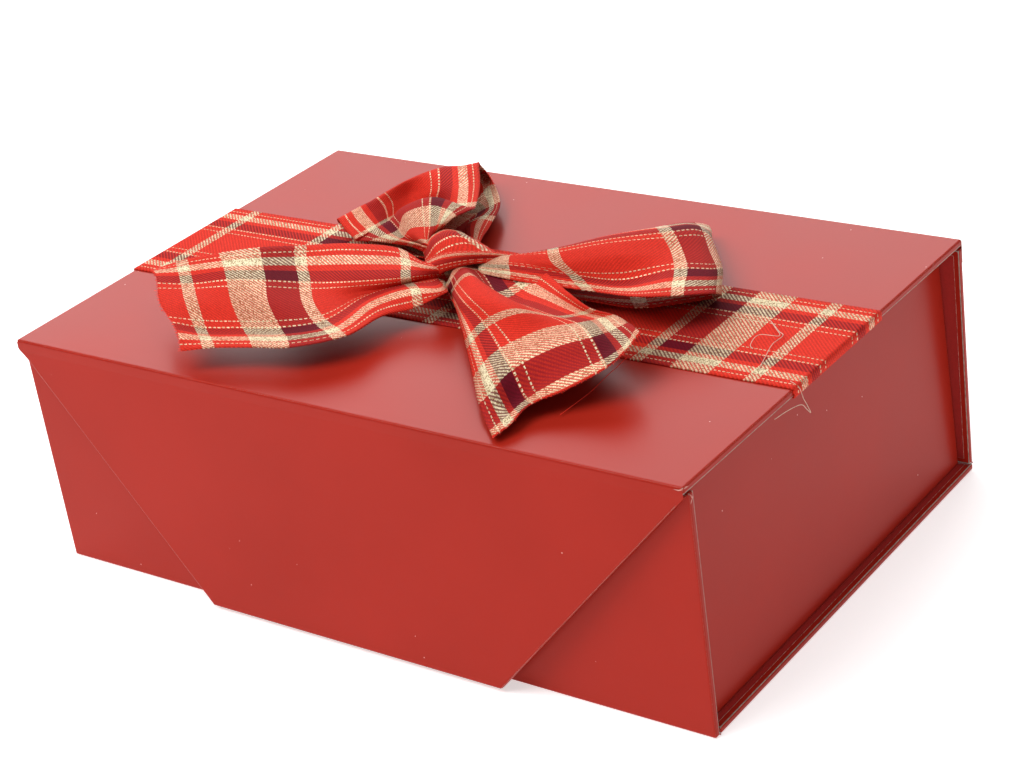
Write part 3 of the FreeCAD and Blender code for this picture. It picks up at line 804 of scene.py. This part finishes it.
def liner_cut_edge(panel, material):
    """The liner's cut edge, whose white core shows as a fine pale line round the panel's inside."""
    shell = board_hull(panel + "_liner")
    broad = [face for face in shell.faces if face.calc_area() > BROAD_FACE]
    bmesh.ops.delete(shell, geom=broad, context="FACES_ONLY")
    piece = paper_piece(panel + "_liner_cut_edge", shell, panel + "_liner", material)
    solid = piece.modifiers.new("thickness", "SOLIDIFY")
    solid.thickness = 2 * PAPER_THICK * MM
    solid.offset = 0


def paper_fold(name, node, profile, widths, material):
    """A paper hinge that runs on over both panels: profile points are y and z, widths are half lengths."""
    shares = np.linspace(-1, 1, FOLD_COLUMNS)
    rows = [[(x * half, y, z) for x in shares] for (y, z), half in zip(profile, widths)]
    grid = np.array(rows)
    steps = np.linalg.norm(np.diff(grid[:, len(shares) // 2], axis=0), axis=1)
    knots = np.concatenate([[0], np.cumsum(steps)])
    fine = np.linspace(0, knots[-1], FOLD_ROWS)
    piece = ribbon_mesh(name, smooth_through(knots, grid, fine), fine, material)
    piece.data.polygons.foreach_set("use_smooth", [False] * len(piece.data.polygons))
    piece.modifiers["thickness"].thickness = PAPER_THICK * MM
    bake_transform(piece)
    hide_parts(node)


def folded_edges(material):
    """The two paper hinges of the lid, each running on over the panels that it joins."""
    front = LID_LOW[1] - PAPER_SHOW
    back = LID_HIGH[1] + PAPER_SHOW
    half = LID_HIGH[0] - FOLD_INSET
    edge = LID_TOP - WRAP_ROUND
    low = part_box("flap_fold")[0].z / MM
    lean = math.tan(math.radians(FLAP_LEAN_DEG))
    taper = (half - FLAP_FOOT_WIDTH / 2) / (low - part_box("flap_wrap")[0].z / MM)
    # The paper leaves the lid upright and runs on into the flap's own wrap, so that no seam shows
    drops = (2.3, 4.3, 6.3)
    profile = [(front, edge), (front + 0.01, edge - 1.5), (front + 0.04, low)]
    profile += [(front + lean * drop - 0.01, low - drop) for drop in drops]
    widths = [half] * 3 + [half - taper * drop for drop in drops]
    paper_fold(
        "flap_fold_paper", "flap_fold", profile, widths,
        material,
    )
    profile = [(back, low - 6), (back, low - 2), (back + 0.05, low + 0.4)]
    profile += [(back, LID_LOW[2] + 0.8), (back, edge)]
    paper_fold(
        "lid_fold_paper", "lid_fold", profile, [half] * 5,
        material,
    )


def torn_corner(material):
    """Torn wrap at the lid's front right corner, its white paper core showing."""
    slivers = (
        (
            (146.5, -100.7, 97.0), (148.6, -100.75, 97.2), (150, -100.7, 97.9),
            (150.1, -100.75, 97.4), (148.4, -100.8, 96.8),
        ),
        ((150.2, -100.5, 97.6), (150.4, -99.4, 98.1), (150.5, -98.2, 97.6), (150.5, -99.4, 97.6)),
        ((150.2, -97.6, 94.3), (150.6, -96.3, 92.8), (150.5, -96.8, 92.4)),
        ((150.6, -96.3, 92.8), (150.2, -97.5, 90.6), (150.3, -97.2, 91.6)),
    )
    points, faces = [], []
    for sliver in slivers:
        faces.append(range(len(points), len(points) + len(sliver)))
        points += [[c * MM for c in point] for point in sliver]
    mesh = bpy.data.meshes.new("torn_corner")
    mesh.from_pydata(points, [], faces)
    piece = new_piece("torn_corner", mesh, material)
    curl = piece.modifiers.new("thickness", "SOLIDIFY")
    curl.thickness = PAPER_THICK * MM
    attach(piece, "lid")


def on_lid(paths):
    """Paths whose heights are above the lid, as points in mm."""
    return [np.array(path, float) + (0, 0, LID_TOP) for path in paths]


def dress_cad():
    """Finishes for the CAD pieces that stay in view."""
    finishes = {
        "red_wrap": laminated_red_paper(),
        "red_liner": red_liner_paper(),
        "greyboard": greyboard(),
        "magnet": nickel_plate(),
        "tape": adhesive_film(),
        "plaid_ribbon": plaid_twill(),
    }
    for part in frame["record"]["subparts"]:
        mesh = frame["nodes"][part["node"]].data
        mesh.materials.clear()
        mesh.materials.append(finishes[part["material_slot"]])
    return finishes


def photo_camera():
    """The photograph's viewpoint: from the front right, a little above, with a slight roll."""
    camera = bpy.data.objects.new("camera", bpy.data.cameras.new("camera"))
    camera.data.sensor_width = 36.0
    camera.data.lens = CAMERA_LENS
    camera.location = CAMERA_PLACE
    camera.rotation_euler = [math.radians(turn) for turn in CAMERA_TURN_DEG]
    bpy.context.scene.collection.objects.link(camera)
    bpy.context.scene.camera = camera


def studio():
    """A plain pale floor under soft light."""
    mesh = bpy.data.meshes.new("floor")
    reach = 6.0
    clearance = 0.0002
    mesh.from_pydata(
        [(-reach, -reach, 0), (reach, -reach, 0), (reach, reach, 0), (-reach, reach, 0)],
        [], [(0, 1, 2, 3)],
    )
    material, tree, output = new_material("pale_floor")
    shader = add(
        tree, "BsdfPrincipled",
        {
            "Base Color": linear("E6E6E6"),
            "Roughness": 0.9,
            "Specular IOR Level": 0.1,
            "Emission Color": (1, 1, 1, 1),
            "Emission Strength": 0.58,
        },
    )
    tree.links.new(shader.outputs[0], output.inputs[0])
    floor = new_piece("floor", mesh, material)
    floor.location.z = -clearance

    world = bpy.data.worlds.new("studio")
    world.use_nodes = True
    background = world.node_tree.nodes["Background"]
    background.inputs["Color"].default_value = (1, 1, 1, 1)
    background.inputs["Strength"].default_value = 0.25
    bpy.context.scene.world = world

    # A broad panel behind gives the lid its pale sheen, the key from the front left shapes the bow,
    # and a weak fill from the right opens the shade along the base
    lights = (
        ("back_panel", (-1.3, 1.7, 1.42), (2.8, 1.5), 46),
        ("key", (-0.6, -1.0, 2.0), (1.5, 1.5), 41),
        ("side_fill", (0.75, -0.15, 1.6), (0.8, 0.8), 4),
    )
    for name, place, (width, tall), power in lights:
        lamp = bpy.data.lights.new(name, "AREA")
        lamp.shape = "RECTANGLE"
        lamp.size = width
        lamp.size_y = tall
        lamp.energy = power
        light = bpy.data.objects.new(name, lamp)
        light.location = place
        aim = -light.location
        aim.z += LIGHT_AIM
        light.rotation_euler = aim.to_track_quat("-Z", "Y").to_euler()
        bpy.context.scene.collection.objects.link(light)
    bpy.context.scene.view_settings.view_transform = "Standard"


finishes = dress_cad()
paper = finishes["red_wrap"]
plaid = finishes["plaid_ribbon"]
red_yarn = spun_yarn("loose_red_yarn", RED_YARN)
pale_yarn = spun_yarn("loose_pale_yarn", PALE_YARN)
core = paper_core()
for panel in PANELS:
    softened_wrap(panel, paper)
    liner_cut_edge(panel, core)
folded_edges(paper)
torn_corner(core)
band_thread = yarn_piece("band_loose_yarn", on_lid(BAND_YARNS), BAND_YARN_RADIUS, pale_yarn)
band_ribbon(plaid)
left_tail = ribbon_grid(LEFT_TAIL)
front_tail = ribbon_grid(FRONT_TAIL)
left_fray = frayed_end("left_tail_fray", left_tail, red_yarn)
front_fray = frayed_end("front_tail_fray", front_tail, red_yarn)
front_thread = yarn_piece("front_tail_loose_yarn", on_lid([FRONT_YARN]), FRONT_YARN_RADIUS, red_yarn)
bow_ribbon("plaid_left_tail", "bow_left_tail", left_tail, plaid)
bow_ribbon("plaid_front_tail", "bow_front_tail", front_tail, plaid)
bow_ribbon("plaid_right_loop", "bow_right_loop", ribbon_grid(RIGHT_LOOP), plaid)
bow_ribbon("plaid_back_loop", "bow_back_loop", ribbon_grid(BACK_LOOP), plaid)
bow_ribbon("plaid_knot", "bow_knot", ribbon_grid(KNOT), plaid)
photo_camera()
studio()
